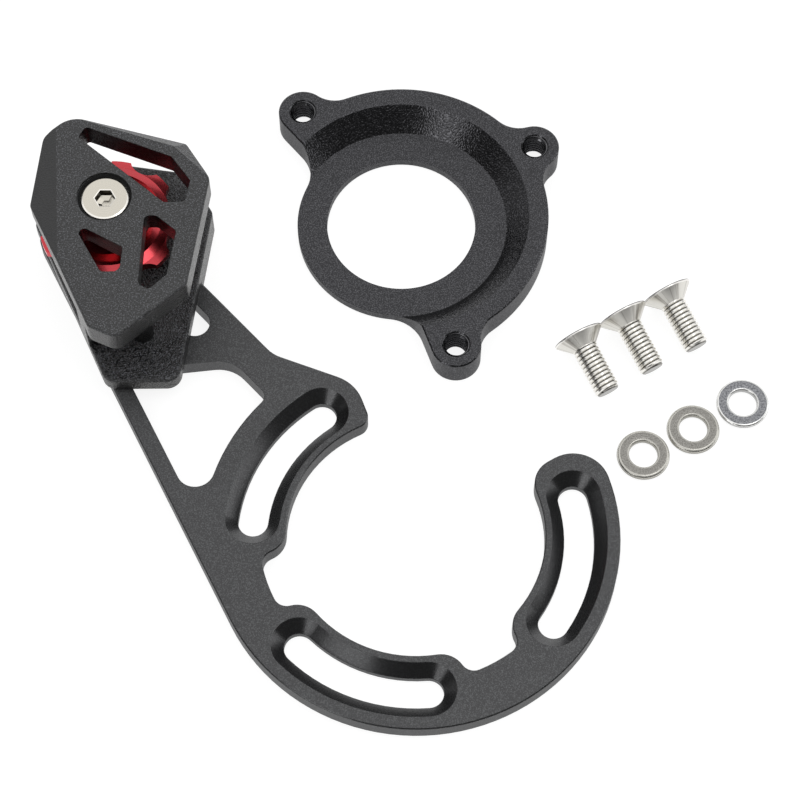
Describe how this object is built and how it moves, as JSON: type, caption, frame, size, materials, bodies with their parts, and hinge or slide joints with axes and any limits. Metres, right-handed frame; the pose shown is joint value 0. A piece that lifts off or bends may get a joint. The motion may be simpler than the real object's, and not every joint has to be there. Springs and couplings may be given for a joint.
{
  "type": "bicycle chain guide",
  "caption": "Bicycle chain guide: hooked arm with countersunk arc slots and a plated head holding a toothed pulley, beside its adapter ring, screws and washers.",
  "frame": {"origin": "bottom-bracket axis where it meets the arm's back face", "axes": "+Z along the bottom-bracket axis, away from the frame; +Y from the axis towards the ring as laid out; +X to the right seen from the front"},
  "size_m": [0.1699, 0.1604, 0.025],
  "materials": {
    "black_anodised": "satin black anodised",
    "black_nylon": "moulded, coarse texture",
    "red_anodised": "bright red anodised",
    "nickel_steel": "satin nickel plate",
    "stainless_steel": "bright stainless",
    "washer_steel": "dull zinc",
    "turned_aluminium": "turned",
    "bearing_steel": "ground"
  },
  "bodies": {
    "arm": {"arm_plate": "black_anodised", "adapter_ring": "black_anodised", "mounting_screw_1": "stainless_steel", "mounting_screw_2": "stainless_steel", "mounting_screw_3": "stainless_steel", "mounting_washer_1": "washer_steel", "mounting_washer_2": "washer_steel", "mounting_washer_3": "washer_steel"},
    "head": {"inner_plate": "black_nylon", "outer_plate": "black_nylon", "head_bolt": "nickel_steel", "slide_nut": "nickel_steel", "rear_spacer": "turned_aluminium", "front_spacer": "turned_aluminium", "bearing_inner_race": "bearing_steel"},
    "pulley": {"pulley": "red_anodised", "bearing_outer_race": "bearing_steel", "bearing_balls": "bearing_steel", "bearing_cage": "bearing_steel", "bearing_front_shield": "bearing_steel", "bearing_rear_shield": "bearing_steel"}
  },
  "joints": [
    {"name": "head_slide", "type": "slide", "parent": "arm", "child": "head", "axis": [-0.6756, 0.7373, 0], "range_m": [-0.014, 0.004]},
    {"name": "pulley_spin", "type": "hinge", "parent": "head", "child": "pulley", "pos_m": [-0.07087, 0.07426, 0.0127], "axis": [0, 0, 1], "continuous": true}
  ]
}
